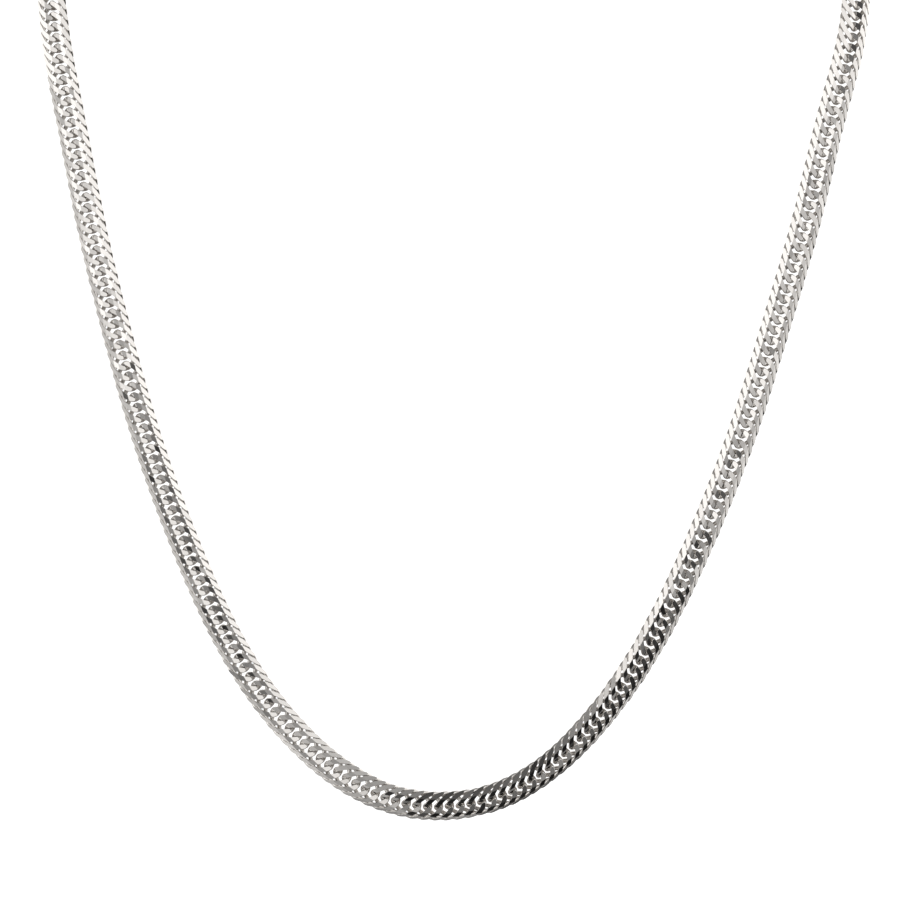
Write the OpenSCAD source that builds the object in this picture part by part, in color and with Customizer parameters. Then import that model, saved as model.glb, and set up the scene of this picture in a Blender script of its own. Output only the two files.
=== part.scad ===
// A curb chain necklace in its worn form: one closed loop with its clasp at the nape.
// The origin is the middle of the clasp's inner face, X runs to the wearer's left,
// the front of the loop looks along -Y, and +Z is up.

/* [Chain] */
// Width of the chain across its face
chain_w = 5; // [4.8:0.1:5.4]
// Thickness of the chain from face to face
chain_t = 1.9; // [1.7:0.1:2.3]
// Width of each face between its two bevels
face_w = 3.1; // [2.6:0.1:3.6]
// Height of the outer edge that the bevels leave
edge_t = 0.3; // [0.2:0.1:0.6]
// Width of the V-shaped groove that is cut along the middle of each face
groove_w = 1.7; // [1.3:0.1:2]
// Depth of that groove
groove_d = 0.45; // [0.2:0.05:0.6]

/* [Clasp] */
// Length of the clasp along the chain, with both collars
clasp_l = 12; // [10:0.5:13]
// Width of the clasp across the chain
clasp_w = 5.4; // [5:0.1:6]
// Thickness of the clasp, from the skin outwards
clasp_t = 2.8; // [2.4:0.1:3.2]
// Radius of the clasp's four corners
clasp_r = 0.8; // [0.4:0.1:1.2]
// Length of the collar at each end of the clasp, that the last link is soldered to
collar_l = 1; // [0.6:0.1:1.5]
// Width of that collar across the chain
collar_w = 4.2; // [3.4:0.1:4.8]

/* [Wear] */
// Angle that the chest leans back from upright, under the front of the loop
chest_lean = 15; // [5:1:25]

/* [Hidden] */

// The route pulls a closed smooth curve towards these points, from the nape down the
// loop's -X side and up its +X side. Columns: x, height in the chest's plane, depth
// behind that plane, and how far the face of the chain turns from the chest's front
// towards the outside of the loop, in degrees.
ROUTE = [
    [0, 0, 0, 165],
    [-8, 0, 0, 165],
    [-16, 0, 0, 165],
    [-29, -3, -5, 145],
    [-42, -8.5, -12.5, 115],
    [-53.5, -17, -22.5, 80],
    [-64.5, -28.5, -31.5, 42],
    [-64.9, -45.5, -36, 14],
    [-60.9, -64.5, -36, 9],
    [-57.9, -81.5, -36, 12],
    [-53.5, -99, -36, 9],
    [-49, -115.5, -36, 5],
    [-42.4, -133.5, -36, 5],
    [-35, -150, -36, 3],
    [-25.2, -163.7, -36, 5],
    [-10.1, -175.4, -36, 15],
    [9.6, -174.3, -36, 28],
    [23.6, -161.6, -36, 25],
    [33.1, -147.5, -36, 18],
    [41, -130.5, -36, 14],
    [47.5, -114, -36, 12],
    [52.5, -97, -36, 12],
    [58, -79, -36, 11],
    [61.1, -63.5, -36, 11],
    [67, -45, -36, 17],
    [63.5, -28.5, -31.5, 45],
    [53.5, -17, -22.5, 80],
    [42, -8.5, -12.5, 115],
    [29, -3, -5, 145],
    [16, 0, 0, 165],
    [8, 0, 0, 165]
];

// The points next to the nape lie on a straight line, this far apart
nape_step = 8;
// Gap between the clasp's end and the end of the chain
end_gap = 0.1;
// Number of cross-sections along the chain
ring_count = 78;

spans = len(ROUTE);
first_at = (clasp_l / 2 + end_gap) / nape_step;
ring_step = (spans - 2 * first_at) / (ring_count - 1);
front = [0, -cos(chest_lean), sin(chest_lean)];

// Cross-section: on each face a groove between two flat rows, then the bevels and the
// narrow outer edges
SECTION = [
    [chain_w / 2, -edge_t / 2],
    [chain_w / 2, edge_t / 2],
    [face_w / 2, chain_t / 2],
    [groove_w / 2, chain_t / 2],
    [0, chain_t / 2 - groove_d],
    [-groove_w / 2, chain_t / 2],
    [-face_w / 2, chain_t / 2],
    [-chain_w / 2, edge_t / 2],
    [-chain_w / 2, -edge_t / 2],
    [-face_w / 2, -chain_t / 2],
    [-groove_w / 2, -chain_t / 2],
    [0, groove_d - chain_t / 2],
    [groove_w / 2, -chain_t / 2],
    [face_w / 2, -chain_t / 2]
];
sides = len(SECTION);
// Where the section's two halves start, at the bottoms of the grooves
HALVES = [4, 4 + sides / 2];

function unit(v) = v / norm(v);

// Shares of the four nearest route points in a point of the smooth curve, and their rates
function shares(t) = [
    pow(1 - t, 3),
    3 * pow(t, 3) - 6 * pow(t, 2) + 4,
    -3 * pow(t, 3) + 3 * pow(t, 2) + 3 * t + 1,
    pow(t, 3)
] / 6;
function share_rates(t) = [-pow(1 - t, 2), 3 * t * t - 4 * t, -3 * t * t + 2 * t + 1, t * t] / 2;
function blend_route(u, w) =
    let (i = floor(u) + spans - 1)
    w[0] * ROUTE[i % spans] + w[1] * ROUTE[(i + 1) % spans]
    + w[2] * ROUTE[(i + 2) % spans] + w[3] * ROUTE[(i + 3) % spans];

// From the chest's leaning plane to the upright frame
function upright(p) = [
    p[0],
    p[2] * cos(chest_lean) + p[1] * sin(chest_lean),
    p[1] * cos(chest_lean) - p[2] * sin(chest_lean)
];

// One cross-section, placed at u along the route and turned with the chain's face
function ring(u) =
    let (p = blend_route(u, shares(u - floor(u))))
    let (d = blend_route(u, share_rates(u - floor(u))))
    let (centre = upright(p) + [0, clasp_t / 2, 0])
    let (along = unit(upright(d)))
    let (ahead = unit(front - along * (front * along)))
    let (aside = cross(along, ahead))
    let (face = ahead * cos(p[3]) + aside * sin(p[3]))
    let (across = cross(face, along))
    [for (s = SECTION) centre + across * s[0] + face * s[1]];

// Point numbers of one half of a ring, from the bottom of one groove to that of the other
function half_ring(first) = [for (k = [0 : sides / 2]) (first + k) % sides];
function reversed(list) = [for (k = [len(list) - 1 : -1 : 0]) list[k]];

// A closed skin over rings of points: triangles along the sides, and two convex halves at
// each end
function skin(rings) = concat(
    [for (first = HALVES) half_ring(first)],
    [for (i = [0 : rings - 2]) for (k = [0 : sides - 1])
        [i * sides + k, (i + 1) * sides + k, (i + 1) * sides + (k + 1) % sides]],
    [for (i = [0 : rings - 2]) for (k = [0 : sides - 1])
        [i * sides + k, (i + 1) * sides + (k + 1) % sides, i * sides + (k + 1) % sides]],
    [for (first = HALVES) [for (k = reversed(half_ring(first))) (rings - 1) * sides + k]]
);

// The whole chain of links as one bevelled and grooved band
module chain() {
    color([0.78, 0.77, 0.76])
    polyhedron(
        points = [for (i = [0 : ring_count - 1]) each ring(first_at + i * ring_step)],
        faces = skin(ring_count),
        convexity = 8
    );
}

// Flat outline of the clasp's body with its corners rounded
module clasp_outline(l, w, r) {
    square([l - 2 * r, w], center = true);
    square([l, w - 2 * r], center = true);
    for (x = [-1, 1], y = [-1, 1]) {
        translate([x * (l / 2 - r), y * (w / 2 - r)]) circle(r = r, $fn = 32);
    }
}

// A plain box clasp with a collar at each end
module clasp() {
    color([0.8, 0.79, 0.78])
    translate([0, clasp_t / 2, 0])
    union() {
        rotate([90, 0, 0])
        linear_extrude(height = clasp_t, center = true)
        clasp_outline(clasp_l - 2 * collar_l, clasp_w, clasp_r);
        cube([clasp_l, chain_t, collar_w], center = true);
    }
}

chain();
clasp();
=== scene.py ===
"""Looks of a curb chain necklace: its interlocked links, its box clasp and a plain studio."""

import math

import bmesh
import bpy
import numpy as np
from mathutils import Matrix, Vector

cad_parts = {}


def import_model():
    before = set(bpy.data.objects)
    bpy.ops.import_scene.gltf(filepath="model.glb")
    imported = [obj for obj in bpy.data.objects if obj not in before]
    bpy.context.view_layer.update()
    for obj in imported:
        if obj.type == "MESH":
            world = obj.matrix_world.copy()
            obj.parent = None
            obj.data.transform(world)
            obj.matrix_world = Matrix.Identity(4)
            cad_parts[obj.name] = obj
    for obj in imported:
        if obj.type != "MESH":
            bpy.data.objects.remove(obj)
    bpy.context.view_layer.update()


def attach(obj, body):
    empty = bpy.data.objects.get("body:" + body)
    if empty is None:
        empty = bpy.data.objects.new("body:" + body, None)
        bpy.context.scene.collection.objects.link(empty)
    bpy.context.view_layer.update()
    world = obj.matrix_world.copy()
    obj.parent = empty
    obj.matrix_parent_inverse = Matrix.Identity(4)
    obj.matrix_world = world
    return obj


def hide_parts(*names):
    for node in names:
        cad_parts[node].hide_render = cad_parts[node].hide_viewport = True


MM = 0.001

# Chain, in millimetres, as the part's source has it
CHAIN_W = 5.0
CHAIN_T = 1.9
FACE_W = 3.1
EDGE_T = 0.3
GROOVE_W = 1.7
GROOVE_D = 0.45

# Clasp, in millimetres, as the part's source has it
CLASP_L = 12.0
CLASP_W = 5.4
CLASP_T = 2.8
COLLAR_L = 1.0
COLLAR_W = 4.2

# Looks of the clasp's body, in millimetres: radius of its long edges, depth of an engraved
# line and of the tongue's seam, then the body's end at -X and one line as rows of (place
# along it, how far the surface lies inside the full section), and where lines and seam are
CLASP_EDGE = 0.55
LINE_DEPTH = 0.06
SEAM_DEPTH = 0.2
CLASP_END = [(-5.0, 0.5), (-4.97, 0.33), (-4.9, 0.19), (-4.78, 0.08), (-4.6, 0.0)]
CLASP_LINE = [(-0.07, 0.0), (-0.045, LINE_DEPTH), (0.045, LINE_DEPTH), (0.07, 0.0)]
CLASP_LINES_AT = [-4.1, -3.7, 3.7, 4.1]
CLASP_SEAM_AT = 2.3

# Collars, in millimetres: radius of their long edges, how far they reach into the body,
# and their rim as rows of (place from the clasp's end, inset)
COLLAR_EDGE = 0.4
COLLAR_INSIDE = 0.4
COLLAR_RIM = [(-0.35, 0.0), (-0.3, -0.06), (-0.08, -0.06), (0.0, 0.04)]

# Thumb tab, in millimetres: its middle, full length and thickness, half its width, and how
# far its ends and grip lines reach along it and how deep they are
TAB_AT = (1.2, 1.4, 2.72)
TAB_L = 1.7
TAB_T = 1.1
TAB_HALF_W = 0.45
TAB_EDGE = 0.15
TAB_END = (0.06, 0.1)
TAB_GRIP = (0.08, 0.07)
TAB_GRIPS = 4

# How all the clasp's pieces are made: points on a quarter of a section's corner, the share
# of an inset that comes off the corner's radius, the least radius in millimetres, and the
# least angle of a crisp edge
CORNER_STEPS = 6
RADIUS_LOSS = 0.5
LEAST_RADIUS = 0.05
CRISP_ANGLE = math.radians(38)

# The chain's worn route, as the part's source has it: x, height in the chest's plane,
# depth behind that plane, turn of the face to the outside in degrees
CHEST_LEAN = math.radians(15)
ROUTE = np.array([
    [0, 0, 0, 165], [-8, 0, 0, 165], [-16, 0, 0, 165], [-29, -3, -5, 145],
    [-42, -8.5, -12.5, 115], [-53.5, -17, -22.5, 80], [-64.5, -28.5, -31.5, 42],
    [-64.9, -45.5, -36, 14], [-60.9, -64.5, -36, 9], [-57.9, -81.5, -36, 12],
    [-53.5, -99, -36, 9], [-49, -115.5, -36, 5], [-42.4, -133.5, -36, 5],
    [-35, -150, -36, 3], [-25.2, -163.7, -36, 5], [-10.1, -175.4, -36, 15],
    [9.6, -174.3, -36, 28], [23.6, -161.6, -36, 25], [33.1, -147.5, -36, 18],
    [41, -130.5, -36, 14], [47.5, -114, -36, 12], [52.5, -97, -36, 12],
    [58, -79, -36, 11], [61.1, -63.5, -36, 11], [67, -45, -36, 17],
    [63.5, -28.5, -31.5, 45], [53.5, -17, -22.5, 80], [42, -8.5, -12.5, 115],
    [29, -3, -5, 145], [16, 0, 0, 165], [8, 0, 0, 165],
], float)
ROUTE_STEPS = 240

# The row of links: their number, how many links each one passes through, where along the
# route the first one is, in millimetres, and how many joined meshes they make
LINK_COUNT = 279
LINKS_PASSED = 3
FIRST_LINK_AT = 7.6
CHAIN_PIECES = 5

# One link, in millimetres: a flattened loop of round wire, twisted, pressed flat and cut
WIRE_D = 0.8
SIDE_THINNING = 0.1
LINK_HALF_W = 2.14
LINK_SQUARENESS = 2.45
LINK_TWIST = math.radians(62)
LINK_PRESS = 0.69
LINE_SAMPLES = 8001
WIRE_RINGS = 100
WIRE_SIDES = 20
CUTTER_REACH = 6.0

# How loosely each link sits: turns about its length, width and face, and shift in
# millimetres, both as standard deviations
LOOSE_TURNS = np.radians([1.6, 1.2, 0.4])
LOOSE_SHIFT = 0.006
LINK_SEED = 6

# Metal: its colour, the share of that where it is dull and where a recess has its painted
# shade, the depths in millimetres at which a recess's painted shade and added roughness
# start and are complete, and the shade of the clasp between 0 and 1
METAL_TINT = (0.82, 0.79, 0.757)
DULL_AND_SHADED_SHARE = 0.9
CHAIN_RECESS = (0.03, 0.5)
CLASP_RECESS = (0.024, 0.12)
CLASP_SHADE = 0.4

# How far the metal dulls by clouds and by a link's own shade, then how dark the painted
# shade in a recess is, first on its own and then with clouds
CLOUD_DULLNESS = 0.4
SHADE_DULLNESS = 0.4
RECESS_PAINTED_SHADE = (0.75, 0.25)

# Roughness of the metal: the least, then what clouds, lines, scratches and recesses add
LEAST_ROUGHNESS = 0.05
CLOUD_ROUGHNESS = 0.05
LINE_ROUGHNESS = 0.05
SCRATCH_ROUGHNESS = 0.1
RECESS_ROUGHNESS = 0.16

# Marks of the polish, sized by the spot in millimetres: scales of the clouds, lines and
# scratches, and the readings of the last at which a scratch starts and is complete
CLOUD_SCALE = 0.9
LINE_SCALES = (1.2, 38.0, 38.0)
SCRATCH_SCALES = (22.0, 3.0, 3.0)
SCRATCH_STEP = (0.62, 0.74)

# Relief of the marks: its strength, its height in metres, and the shares of lines and
# scratches in it
RELIEF_STRENGTH = 0.1
RELIEF_HEIGHT = 0.01 * MM
LINE_RELIEF = 0.6
SCRATCH_RELIEF = 0.4

# How far the marks move on from link to link, so that no two links have the same ones
SPOT_STEP = [7.0, 3.0, 5.0]

# Camera: the point it aims at in millimetres, then in metres how far away it stands, the
# width that it sees there, and the nearest and farthest that it sees
CAMERA_AIM = (0, -63.65, -103.66)
CAMERA_AWAY = 0.9
CAMERA_SEES = 0.14516
CAMERA_RANGE = (0.01, 50)
SENSOR_WIDTH = 36

# Floor, in metres: half its width, its front and back edge and its height, then its grey,
# the grey of its faint clouds as a share of that, their scale, the roughness, and the
# floor's own light
FLOOR_HALF_W = 3.0
FLOOR_FRONT = -3.0
FLOOR_BACK = 5.0
FLOOR_Z = -0.27
FLOOR_GREY = 0.95
FLOOR_CLOUDS = 0.98
FLOOR_CLOUD_SCALE = 3.0
FLOOR_ROUGHNESS = 0.9
FLOOR_GLOW = 0.5

# Strength of the light from all round
LIGHT_STRENGTH = 1.352

# Darker places of the studio as seen from the necklace: bearing round the camera's axis
# from the right, angle off that axis, radius, soft edge, all in degrees, and depth
DARK_PLACES = [
    (-82, 81, 43, 26, 0.6),
    (110, 27, 14, 8, 0.8),
    (78, 49, 40, 15, 0.24),
    (-67, 141, 9, 11, 0.77),
    (-160, 93, 17, 8, 0.49),
    (-71, 16, 0, 36, 0.81),
    (150, 13, 6, 10, 0.94),
    (-62, 66, 39, 8, 0.96),
    (101, 73, 29, 28, 0.75),
    (-150, 74, 5, 14, 0.98),
    (-34, 78, 19, 33, 0.52),
    (-90, 150, 35, 30, 0.45),
]


class Reading:
    """An output of a shader tree that can stand in a sum."""

    def __init__(self, tree, socket):
        self.tree = tree
        self.socket = socket

    def maths(self, operation, *values):
        sockets = dict(enumerate(values))
        return self.tree.node("ShaderNodeMath", {"operation": operation}, sockets)

    def __add__(self, other):
        return self.maths("ADD", self, other)

    def __radd__(self, other):
        return self.maths("ADD", other, self)

    def __rsub__(self, other):
        return self.maths("SUBTRACT", other, self)

    def __mul__(self, other):
        return self.maths("MULTIPLY", self, other)

    def __rmul__(self, other):
        return self.maths("MULTIPLY", other, self)

    def __truediv__(self, other):
        return self.maths("DIVIDE", self, other)


class Tree:
    """Adds nodes to the shader tree of a finish or of the light."""

    def __init__(self, node_tree):
        self.nodes = node_tree.nodes
        self.links = node_tree.links
        self.nodes.clear()

    def node(self, kind, settings=None, sockets=None, output=0):
        made = self.nodes.new(kind)
        for name, value in (settings or {}).items():
            setattr(made, name, value)
        for name, value in (sockets or {}).items():
            if isinstance(value, Reading):
                self.links.new(value.socket, made.inputs[name])
            else:
                made.inputs[name].default_value = value
        return Reading(self, made.outputs[output]) if len(made.outputs) else made

    def step(self, value, low, high):
        """0 below low and 1 above high, with a smooth rise between."""
        return self.node(
            "ShaderNodeMapRange",
            {"interpolation_type": "SMOOTHSTEP"},
            {"Value": value, "From Min": low, "From Max": high},
        )

    def mix(self, share, first, second):
        return self.node(
            "ShaderNodeMix",
            {"data_type": "RGBA"},
            {0: share, 6: first, 7: second},
            output=2,
        )

    def scaled(self, vector, factors):
        return self.node(
            "ShaderNodeVectorMath", {"operation": "MULTIPLY"}, {0: vector, 1: factors}
        )

    def dot(self, vector, direction):
        return self.node(
            "ShaderNodeVectorMath",
            {"operation": "DOT_PRODUCT"},
            {0: vector, 1: direction},
            output="Value",
        )

    def noise(self, vector, scale, detail=2.0, roughness=0.5):
        return self.node(
            "ShaderNodeTexNoise",
            {"noise_dimensions": "3D"},
            {"Vector": vector, "Scale": scale, "Detail": detail, "Roughness": roughness},
            output="Fac",
        )


def polished_metal(name, recess_depth):
    """Bright white metal with polishing lines, hairline scratches and painted shade in
    recesses.

    The attribute "spot" gives a point's place on its piece in millimetres, with X along
    the chain, "shade" is one random number for each link, and "depth" says how far a
    point lies below the surface that the piece was cut or polished to.
    """
    finish = bpy.data.materials.new(name)
    finish.use_nodes = True
    tree = Tree(finish.node_tree)
    spot = tree.node("ShaderNodeAttribute", {"attribute_name": "spot"}, output="Vector")
    shade = tree.node("ShaderNodeAttribute", {"attribute_name": "shade"}, output="Fac")
    depth = tree.node("ShaderNodeAttribute", {"attribute_name": "depth"}, output="Fac")

    cloud = tree.noise(spot, CLOUD_SCALE, detail=3.0)
    lines = tree.noise(tree.scaled(spot, LINE_SCALES), 1.0, detail=2.0)
    marks = tree.noise(tree.scaled(spot, SCRATCH_SCALES), 1.0, detail=4.0, roughness=0.7)
    scratches = tree.step(marks, *SCRATCH_STEP)
    # How deep a point lies in a recess, which gives it painted shade and added roughness
    recess = tree.step(depth, *recess_depth)

    bright = METAL_TINT + (1,)
    dull_and_shaded = tuple(DULL_AND_SHADED_SHARE * v for v in METAL_TINT) + (1,)
    unshaded = tree.mix(CLOUD_DULLNESS * cloud + SHADE_DULLNESS * shade, bright, dull_and_shaded)
    # Painted shade: a recess darkens the colour towards the dull end, as shade between parts
    # would
    always, by_cloud = RECESS_PAINTED_SHADE
    colour = tree.mix(recess * (always + by_cloud * cloud), unshaded, dull_and_shaded)
    roughness = (
        LEAST_ROUGHNESS
        + CLOUD_ROUGHNESS * cloud
        + LINE_ROUGHNESS * lines
        + SCRATCH_ROUGHNESS * scratches
        + RECESS_ROUGHNESS * recess
    )

    relief = LINE_RELIEF * lines + SCRATCH_RELIEF * scratches
    normal = tree.node(
        "ShaderNodeBump",
        {},
        {"Strength": RELIEF_STRENGTH, "Distance": RELIEF_HEIGHT, "Height": relief},
    )
    surface = tree.node(
        "ShaderNodeBsdfPrincipled",
        {},
        {
            "Base Color": colour,
            "Metallic": 1.0,
            "Roughness": roughness,
            "Normal": normal,
        },
    )
    tree.node("ShaderNodeOutputMaterial", {}, {"Surface": surface})
    return finish


def floor_paint():
    """Matt pale paint of the studio floor, with a little light of its own."""
    finish = bpy.data.materials.new("floor_paint")
    finish.use_nodes = True
    tree = Tree(finish.node_tree)
    place = tree.node("ShaderNodeTexCoord", output="Object")
    cloud = tree.noise(place, FLOOR_CLOUD_SCALE, detail=3.0)
    greys = [FLOOR_GREY, FLOOR_CLOUDS * FLOOR_GREY]
    colour = tree.mix(cloud, *[(grey, grey, grey, 1) for grey in greys])
    surface = tree.node(
        "ShaderNodeBsdfPrincipled",
        {},
        {
            "Base Color": colour,
            "Roughness": FLOOR_ROUGHNESS,
            "Emission Color": colour,
            "Emission Strength": FLOOR_GLOW,
        },
    )
    tree.node("ShaderNodeOutputMaterial", {}, {"Surface": surface})
    return finish


def unit_rows(rows):
    return rows / np.linalg.norm(rows, axis=-1, keepdims=True)


def upright(points):
    """From the chest's leaning plane to the upright frame."""
    c, s = math.cos(CHEST_LEAN), math.sin(CHEST_LEAN)
    x, up, back = points[:, 0], points[:, 1], points[:, 2]
    return np.stack([x, back * c + up * s, up * c - back * s], 1)


def route_places(u):
    """Centres and axes (along, across, face) of the chain at places u on the route."""
    spans = len(ROUTE)
    whole = np.floor(u)
    t = (u - whole)[:, None]
    near = [ROUTE[(whole.astype(int) + k) % spans] for k in (-1, 0, 1, 2)]
    shares = [(1 - t) ** 3, 3 * t**3 - 6 * t**2 + 4, -3 * t**3 + 3 * t**2 + 3 * t + 1, t**3]
    rates = [-((1 - t) ** 2), 3 * t * t - 4 * t, -3 * t * t + 2 * t + 1, t * t]
    point = sum(w * p for w, p in zip(shares, near)) / 6
    rate = sum(w * p for w, p in zip(rates, near)) / 2
    centre = upright(point) + [0, CLASP_T / 2, 0]
    along = unit_rows(upright(rate))
    front = np.array([0, -math.cos(CHEST_LEAN), math.sin(CHEST_LEAN)])
    ahead = unit_rows(front - along * (along @ front)[:, None])
    aside = np.cross(along, ahead)
    turn = np.radians(point[:, 3])[:, None]
    face = ahead * np.cos(turn) + aside * np.sin(turn)
    return centre, along, np.cross(face, along), face


def link_places():
    """Pitch, centres and axes of all links, evenly spaced along the route."""
    u = np.linspace(0, len(ROUTE), len(ROUTE) * ROUTE_STEPS + 1)
    centre = route_places(u)[0]
    run = np.r_[0, np.cumsum(np.linalg.norm(np.diff(centre, axis=0), axis=1))]
    at = np.linspace(FIRST_LINK_AT, run[-1] - FIRST_LINK_AT, LINK_COUNT)
    return (at[1] - at[0],) + route_places(np.interp(at, run, u))


def wire_line(half_l, count):
    """Evenly spaced points on the centreline of one link's wire."""
    t = np.linspace(0, 2 * math.pi, LINE_SAMPLES)
    share = 2 / LINK_SQUARENESS
    x = half_l * np.sign(np.cos(t)) * np.abs(np.cos(t)) ** share
    reach = LINK_HALF_W * np.sign(np.sin(t)) * np.abs(np.sin(t)) ** share
    twist = -LINK_TWIST * x / half_l
    line = np.stack([x, reach * np.cos(twist), LINK_PRESS * reach * np.sin(twist)], 1)
    run = np.r_[0, np.cumsum(np.linalg.norm(np.diff(line, axis=0), axis=1))]
    at = np.linspace(0, run[-1], count, endpoint=False)
    return np.stack([np.interp(at, run, line[:, k]) for k in range(3)], 1)


def wire_tube(line):
    """A round wire along a closed line, thinner along the link's sides, as a bmesh."""
    ahead = unit_rows(np.roll(line, -1, axis=0) - np.roll(line, 1, axis=0))
    side = np.array([0.0, 0.0, 1.0])
    sides = []
    for direction in np.vstack([ahead, ahead[:1]]):
        side = side - direction * (side @ direction)
        side = side / np.linalg.norm(side)
        sides.append(side)
    last = sides.pop()
    slip = math.atan2(np.cross(sides[0], last) @ ahead[0], sides[0] @ last)
    nearness = np.cos(math.pi / 2 * line[:, 0] / np.abs(line[:, 0]).max())
    radii = WIRE_D / 2 * (1 - SIDE_THINNING * nearness)
    shape = bmesh.new()
    rings = []
    for i, (point, direction, side) in enumerate(zip(line, ahead, sides)):
        other = np.cross(direction, side)
        ring = []
        for k in range(WIRE_SIDES):
            g = 2 * math.pi * k / WIRE_SIDES - slip * i / len(line)
            out = (side * math.cos(g) + other * math.sin(g)) * radii[i]
            ring.append(shape.verts.new(point + out))
        rings.append(ring)
    for ring, following in zip(rings, rings[1:] + rings[:1]):
        for k in range(WIRE_SIDES):
            j = (k + 1) % WIRE_SIDES
            face = shape.faces.new((ring[k], ring[j], following[j], following[k]))
            face.smooth = True
    bmesh.ops.recalc_face_normals(shape, faces=shape.faces[:])
    return shape


def quarter_outline():
    """A quarter of the cutter's outline, from its edge to the bottom of the groove."""
    rise = (CHAIN_T - EDGE_T) / (CHAIN_W - FACE_W)
    tip = FACE_W / 2 + CHAIN_T / 2 / rise
    row = CHAIN_T / 2
    return [(tip, 0), (FACE_W / 2, row), (GROOVE_W / 2, row), (0, row - GROOVE_D)]


def cutter():
    """A bar with the section that diamond cutting leaves, in flat facets."""
    right = quarter_outline()
    upper = right + [(-y, z) for y, z in reversed(right[:-1])]
    outline = upper + [(y, -z) for y, z in reversed(upper[1:-1])]
    shape = bmesh.new()
    near, far = [
        [shape.verts.new((x, y, z)) for y, z in outline] for x in (-CUTTER_REACH, CUTTER_REACH)
    ]
    for k in range(len(outline)):
        j = (k + 1) % len(outline)
        shape.faces.new((near[k], near[j], far[j], far[k]))
    shape.faces.new(near)
    shape.faces.new(far)
    bmesh.ops.recalc_face_normals(shape, faces=shape.faces[:])
    return shape


def hold(shape, name):
    """A passing object for a modifier to work on."""
    mesh = bpy.data.meshes.new(name)
    shape.to_mesh(mesh)
    shape.free()
    held = bpy.data.objects.new(name, mesh)
    bpy.context.scene.collection.objects.link(held)
    return held


def let_go(held):
    mesh = held.data
    bpy.data.objects.remove(held)
    bpy.data.meshes.remove(mesh)


def cut_link(half_l):
    """One link's wire, cut with the cutter's flat facets, as a bmesh."""
    wire = hold(wire_tube(wire_line(half_l, WIRE_RINGS)), "wire")
    tool = hold(cutter(), "cutter")
    cut = wire.modifiers.new("cut", "BOOLEAN")
    cut.operation = "INTERSECT"
    cut.solver = "EXACT"
    cut.object = tool
    shape = bmesh.new()
    shape.from_object(wire, bpy.context.evaluated_depsgraph_get())
    let_go(wire)
    let_go(tool)
    return shape


def depth_below_cut(points):
    """How far points lie below the cutter's outline, in millimetres."""
    outline = np.array(quarter_outline())[::-1]
    return np.interp(np.abs(points[:, 1]), outline[:, 0], outline[:, 1]) - np.abs(points[:, 2])


class Pattern:
    """The arrays of one mesh, ready to be copied many times."""

    def __init__(self, shape):
        mesh = bpy.data.meshes.new("pattern")
        shape.to_mesh(mesh)
        shape.free()
        self.points = self.read(mesh.vertices, "co", 3, float).reshape(-1, 3)
        self.edges = self.read(mesh.edges, "vertices", 2, int)
        self.corners = self.read(mesh.loops, "vertex_index", 1, int)
        self.corner_edges = self.read(mesh.loops, "edge_index", 1, int)
        self.starts = self.read(mesh.polygons, "loop_start", 1, int)
        self.sharp_edges = self.read(mesh.edges, "use_edge_sharp", 1, bool)
        self.smooth_faces = self.read(mesh.polygons, "use_smooth", 1, bool)
        bpy.data.meshes.remove(mesh)

    @staticmethod
    def read(items, name, width, kind):
        values = np.zeros(len(items) * width, kind)
        items.foreach_get(name, values)
        return values

    def copies(self, name, placed, spots, shades, depths):
        """One mesh with a copy at each set of placed points."""
        count = len(placed)
        shift = np.arange(count)[:, None]
        mesh = bpy.data.meshes.new(name)
        mesh.vertices.add(count * len(self.points))
        mesh.edges.add(count * len(self.sharp_edges))
        mesh.loops.add(count * len(self.corners))
        mesh.polygons.add(count * len(self.starts))
        point_shift = shift * len(self.points)
        mesh.vertices.foreach_set("co", placed.reshape(-1).astype(np.float32))
        mesh.edges.foreach_set("vertices", (self.edges + point_shift).reshape(-1))
        mesh.loops.foreach_set("vertex_index", (self.corners + point_shift).reshape(-1))
        edge_shift = shift * len(self.sharp_edges)
        mesh.loops.foreach_set("edge_index", (self.corner_edges + edge_shift).reshape(-1))
        starts = self.starts + shift * len(self.corners)
        mesh.polygons.foreach_set("loop_start", starts.reshape(-1))
        mesh.polygons.foreach_set("use_smooth", np.tile(self.smooth_faces, count))
        mesh.edges.foreach_set("use_edge_sharp", np.tile(self.sharp_edges, count))
        add_points_data(mesh, spots, shades, depths)
        mesh.update()
        return mesh


def add_points_data(mesh, spots, shades, depths):
    """Stores what the finishes read at each point."""
    spot = mesh.attributes.new("spot", "FLOAT_VECTOR", "POINT")
    spot.data.foreach_set("vector", np.asarray(spots, np.float32).reshape(-1))
    for name, values in (("shade", shades), ("depth", depths)):
        made = mesh.attributes.new(name, "FLOAT", "POINT")
        made.data.foreach_set("value", np.asarray(values, np.float32).reshape(-1))


def add_piece(name, mesh, finish, node):
    """Puts a mesh in the scene as a piece that stands for a node of the part."""
    mesh.materials.append(finish)
    piece = bpy.data.objects.new(name, mesh)
    bpy.context.scene.collection.objects.link(piece)
    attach(piece, "root")
    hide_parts(node)


def small_turns(random, count):
    """Small random turns about a link's own axes, one matrix for each link."""
    a = random.normal(0, 1, (count, 3)) * LOOSE_TURNS
    one = np.ones(count)
    rows = [one, -a[:, 2], a[:, 1], a[:, 2], one, -a[:, 0], -a[:, 1], a[:, 0], one]
    turns, scales = np.linalg.qr(np.stack(rows, 1).reshape(count, 3, 3))
    return turns * np.sign(np.einsum("nii->ni", scales))[:, None, :]


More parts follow.
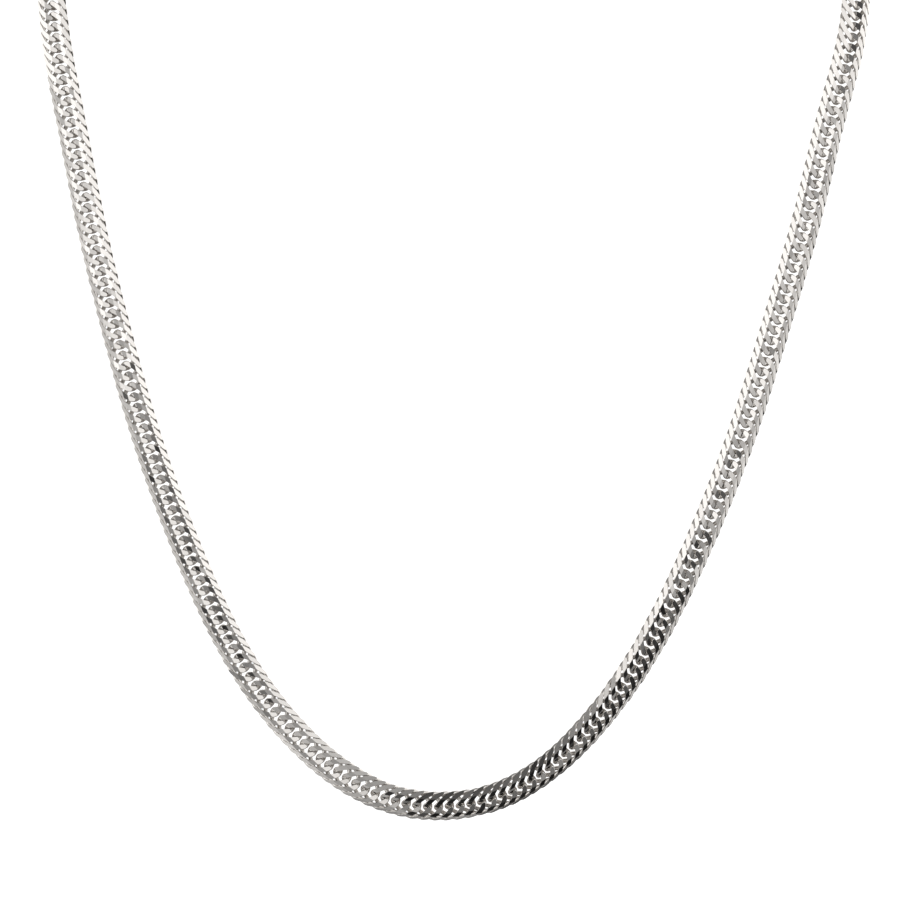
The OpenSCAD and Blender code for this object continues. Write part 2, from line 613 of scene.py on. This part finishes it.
def make_chain(finish):
    """All the links, in a few joined meshes."""
    pitch, centre, along, across, face = link_places()
    half_l = LINKS_PASSED * pitch / 2 + WIRE_D / 2
    link = Pattern(cut_link(half_l))

    random = np.random.RandomState(LINK_SEED)
    axes = np.stack([along, across, face], 2) @ small_turns(random, LINK_COUNT)
    centre = centre + random.normal(0, LOOSE_SHIFT, (LINK_COUNT, 3))
    shades = random.uniform(0, 1, LINK_COUNT)
    depth = depth_below_cut(link.points)
    for number, group in enumerate(np.array_split(np.arange(LINK_COUNT), CHAIN_PIECES)):
        placed = np.einsum("nij,pj->npi", axes[group], link.points) + centre[group][:, None]
        spots = link.points[None] + group[:, None, None] * SPOT_STEP
        mesh = link.copies(
            f"links_{number + 1}",
            placed * MM,
            spots,
            np.repeat(shades[group], len(link.points)),
            np.tile(depth, len(group)),
        )
        add_piece(f"chain_links_{number + 1}", mesh, finish, "chain")


def rounded_section(half_t, half_w, radius):
    """Points (y, z) round a rectangle with round corners."""
    points = []
    for sy, sz, start in ((1, 1, 0), (-1, 1, 90), (-1, -1, 180), (1, -1, 270)):
        for k in range(CORNER_STEPS + 1):
            g = math.radians(start + 90 * k / CORNER_STEPS)
            y = sy * (half_t - radius) + radius * math.cos(g)
            points.append((y, sz * (half_w - radius) + radius * math.sin(g)))
    return points


def lofted_bar(rows, half_t, half_w, edge, middle):
    """A bar along X through rows of (place, inset), with rounded long edges."""
    shape = bmesh.new()
    rings = []
    for x, inset in rows:
        radius = max(edge - RADIUS_LOSS * inset, LEAST_RADIUS)
        section = rounded_section(half_t - inset, half_w - inset, radius)
        places = [(middle[0] + x, middle[1] + y, middle[2] + z) for y, z in section]
        rings.append([shape.verts.new(place) for place in places])
    for ring, following in zip(rings, rings[1:]):
        for k in range(len(ring)):
            j = (k + 1) % len(ring)
            shape.faces.new((ring[k], ring[j], following[j], following[k]))
    shape.faces.new(rings[0])
    shape.faces.new(rings[-1])
    for face in shape.faces:
        face.smooth = True
    bmesh.ops.recalc_face_normals(shape, faces=shape.faces[:])
    return shape


def clasp_rows():
    """Places and insets along the clasp's body: ends, fine lines and the tongue's seam."""
    rows = list(CLASP_END)
    cuts = [(at, 1.0) for at in CLASP_LINES_AT if at < CLASP_SEAM_AT]
    cuts.append((CLASP_SEAM_AT, SEAM_DEPTH / LINE_DEPTH))
    cuts += [(at, 1.0) for at in CLASP_LINES_AT if at > CLASP_SEAM_AT]
    for at, deeper in cuts:
        rows += [(at + x, deeper * inset) for x, inset in CLASP_LINE]
    return rows + [(-x, inset) for x, inset in reversed(CLASP_END)]


def tab_rows():
    """Places and insets along the thumb tab: ends and grip lines."""
    end_run, end_inset = TAB_END
    grip_run, grip_inset = TAB_GRIP
    rows = [(-TAB_L / 2, end_inset), (-TAB_L / 2 + end_run, 0.0)]
    for k in range(TAB_GRIPS):
        x = TAB_L * ((k + 1) / (TAB_GRIPS + 1) - 0.5)
        rows += [(x - grip_run, 0.0), (x, grip_inset), (x + grip_run, 0.0)]
    return rows + [(TAB_L / 2 - end_run, 0.0), (TAB_L / 2, end_inset)]


def add_clasp_piece(name, shape, finish, depth):
    """One piece of the clasp, from a bmesh in millimetres."""
    mesh = bpy.data.meshes.new(name)
    shape.to_mesh(mesh)
    shape.free()
    mesh.set_sharp_from_angle(angle=CRISP_ANGLE)
    spots = np.zeros(len(mesh.vertices) * 3, np.float32)
    mesh.vertices.foreach_get("co", spots)
    mesh.vertices.foreach_set("co", spots * np.float32(MM))
    depths = [depth(x) for x in spots.reshape(-1, 3)[:, 0]]
    add_points_data(mesh, spots, np.full(len(depths), CLASP_SHADE), depths)
    mesh.update()
    add_piece(name, mesh, finish, "clasp")


def make_clasp(finish):
    """A plain box clasp: its body with the tongue's seam, two collars and a thumb tab."""
    middle = (0, CLASP_T / 2, 0)
    rows = clasp_rows()
    body = lofted_bar(rows, CLASP_T / 2, CLASP_W / 2, CLASP_EDGE, middle)
    places, insets = zip(*rows)
    ends_at = abs(CLASP_END[-1][0])

    # The depth of the engraved lines and the seam gives them painted shade and added roughness
    def body_depth(x):
        return float(np.interp(x, places, insets)) if abs(x) <= ends_at else 0.0

    add_clasp_piece("clasp_body", body, finish, body_depth)
    start, end = CLASP_L / 2 - COLLAR_L - COLLAR_INSIDE, CLASP_L / 2
    rim = [(start, 0.0)] + [(end + x, inset) for x, inset in COLLAR_RIM]
    for side, word in ((-1, "right"), (1, "left")):
        rows = [(side * x, inset) for x, inset in rim]
        collar = lofted_bar(rows, CHAIN_T / 2, COLLAR_W / 2, COLLAR_EDGE, middle)
        add_clasp_piece(f"clasp_collar_{word}", collar, finish, lambda x: 0.0)
    tab = lofted_bar(tab_rows(), TAB_T / 2, TAB_HALF_W, TAB_EDGE, TAB_AT)
    add_clasp_piece("clasp_tab", tab, finish, lambda x: 0.0)


def make_camera():
    """A long lens square to the plane that the front of the loop lies in."""
    data = bpy.data.cameras.new("camera")
    camera = bpy.data.objects.new("camera", data)
    bpy.context.scene.collection.objects.link(camera)
    aim = Vector(CAMERA_AIM) * MM
    look = Vector((0, math.cos(CHEST_LEAN), -math.sin(CHEST_LEAN)))
    data.sensor_width = SENSOR_WIDTH
    data.lens = SENSOR_WIDTH * CAMERA_AWAY / CAMERA_SEES
    data.clip_start, data.clip_end = CAMERA_RANGE
    camera.location = aim - look * CAMERA_AWAY
    camera.rotation_mode = "QUATERNION"
    camera.rotation_quaternion = look.to_track_quat("-Z", "Y")
    bpy.context.scene.camera = camera


def make_floor():
    """A plain pale floor below the necklace."""
    mesh = bpy.data.meshes.new("floor")
    edges = [(-1, FLOOR_FRONT), (1, FLOOR_FRONT), (1, FLOOR_BACK), (-1, FLOOR_BACK)]
    corners = [(side * FLOOR_HALF_W, y, FLOOR_Z) for side, y in edges]
    mesh.from_pydata(corners, [], [(0, 1, 2, 3)])
    mesh.materials.append(floor_paint())
    floor = bpy.data.objects.new("floor", mesh)
    bpy.context.scene.collection.objects.link(floor)
    floor.visible_glossy = False


def heading(right, up, ahead):
    """A direction from the necklace, in the camera's axes at its first place."""
    c, s = math.cos(CHEST_LEAN), math.sin(CHEST_LEAN)
    v = Vector((right, -ahead * c + up * s, ahead * s + up * c))
    return tuple(v.normalized())


def make_light():
    """A white studio with a few soft darker places, which polished metal mirrors."""
    world = bpy.data.worlds.new("studio")
    bpy.context.scene.world = world
    world.use_nodes = True
    tree = Tree(world.node_tree)
    way = tree.node("ShaderNodeTexCoord", output="Generated")
    light = 1.0
    for towards, off, reach, soft, depth in DARK_PLACES:
        a, b = math.radians(towards), math.radians(off)
        middle = heading(math.sin(b) * math.cos(a), math.sin(b) * math.sin(a), math.cos(b))
        near = tree.dot(way, middle)
        low, high = math.cos(math.radians(reach + soft)), math.cos(math.radians(reach))
        light = light * (1 - depth * tree.step(near, low, high))
    seen = tree.node("ShaderNodeLightPath", output="Is Camera Ray")
    light = light * (1 - seen) + seen / LIGHT_STRENGTH
    background = tree.node(
        "ShaderNodeBackground", {}, {"Color": (1, 1, 1, 1), "Strength": light * LIGHT_STRENGTH}
    )
    tree.node("ShaderNodeOutputWorld", {}, {"Surface": background})


def make_scene():
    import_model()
    make_chain(polished_metal("chain_polish", CHAIN_RECESS))
    make_clasp(polished_metal("clasp_polish", CLASP_RECESS))
    make_camera()
    make_floor()
    make_light()
    view = bpy.context.scene.view_settings
    view.view_transform = "Standard"


make_scene()
